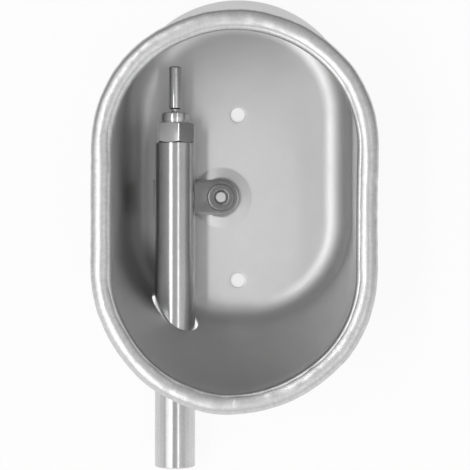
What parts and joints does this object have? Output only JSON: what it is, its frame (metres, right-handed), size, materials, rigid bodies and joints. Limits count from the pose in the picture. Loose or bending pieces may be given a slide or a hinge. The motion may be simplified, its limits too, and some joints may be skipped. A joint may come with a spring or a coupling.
{
  "type": "livestock drinking bowl",
  "caption": "Oval pressed steel drinking bowl for livestock, with a rolled rim, wall holes, and a supply pipe on a bolted bracket that carries a push-pin nipple valve.",
  "frame": {"origin": "on the bowl's flat back face, midway between its two wall holes", "axes": "+Z from the back face out of the mouth; Y along the two wall holes and the pipe, with +Y the way the valve's pin points; +X across, so the pipe lies on the -X side. The part lies on its back. Bolted to a wall, -Z points into the wall."},
  "size_m": [0.166, 0.2887, 0.0915],
  "materials": {
    "bowl_steel": "pressed stainless sheet, matt with a brighter rolled rim",
    "pipe_steel": "drawn and ground stainless tube",
    "bracket_steel": "stainless strip, dull",
    "weld_steel": "stainless weld bead",
    "fastener_steel": "turned stainless",
    "valve_steel": "turned and milled stainless",
    "pin_steel": "turned stainless, fine rings",
    "spring_steel": "drawn spring wire and pressed disc",
    "seal_rubber": "matt black rubber",
    "valve_plastic": "natural moulded plastic",
    "regulator_plastic": "coloured moulded plastic"
  },
  "bodies": {
    "bowl": {"bowl_shell": "bowl_steel", "supply_pipe": "pipe_steel", "pipe_bracket": "bracket_steel", "bracket_welds": "weld_steel", "bracket_nut": "fastener_steel", "bracket_bolt": "fastener_steel", "bolt_washer": "fastener_steel", "bolt_seal": "seal_rubber", "nipple_body": "valve_steel", "body_seal": "seal_rubber", "seat_ring": "seal_rubber", "valve_spring": "spring_steel", "spring_retainer": "spring_steel", "retainer_clip": "spring_steel", "strainer": "valve_plastic", "flow_regulator": "regulator_plastic"},
    "plunger": {"spring_cup": "valve_plastic"},
    "rocker": {"rocker_washer": "pin_steel"},
    "stem": {"valve_stem": "pin_steel"}
  },
  "joints": [
    {"name": "pin_push", "type": "slide", "parent": "bowl", "child": "plunger", "axis": [0, -1, 0], "range_m": [0, 0.0016], "stiffness_N_per_m": 600, "springref_m": -0.005, "deforming": ["valve_spring"]},
    {"name": "pin_rock_up", "type": "hinge", "parent": "plunger", "child": "rocker", "pos_m": [-0.03835, 0.03559, 0.0198], "axis": [1, 0, 0], "range_deg": [-5, 5], "stiffness_Nm_per_rad": 0.5},
    {"name": "pin_rock_across", "type": "hinge", "parent": "rocker", "child": "stem", "pos_m": [-0.03835, 0.03559, 0.0198], "axis": [0, 0, 1], "range_deg": [-5, 5], "stiffness_Nm_per_rad": 0.5}
  ]
}
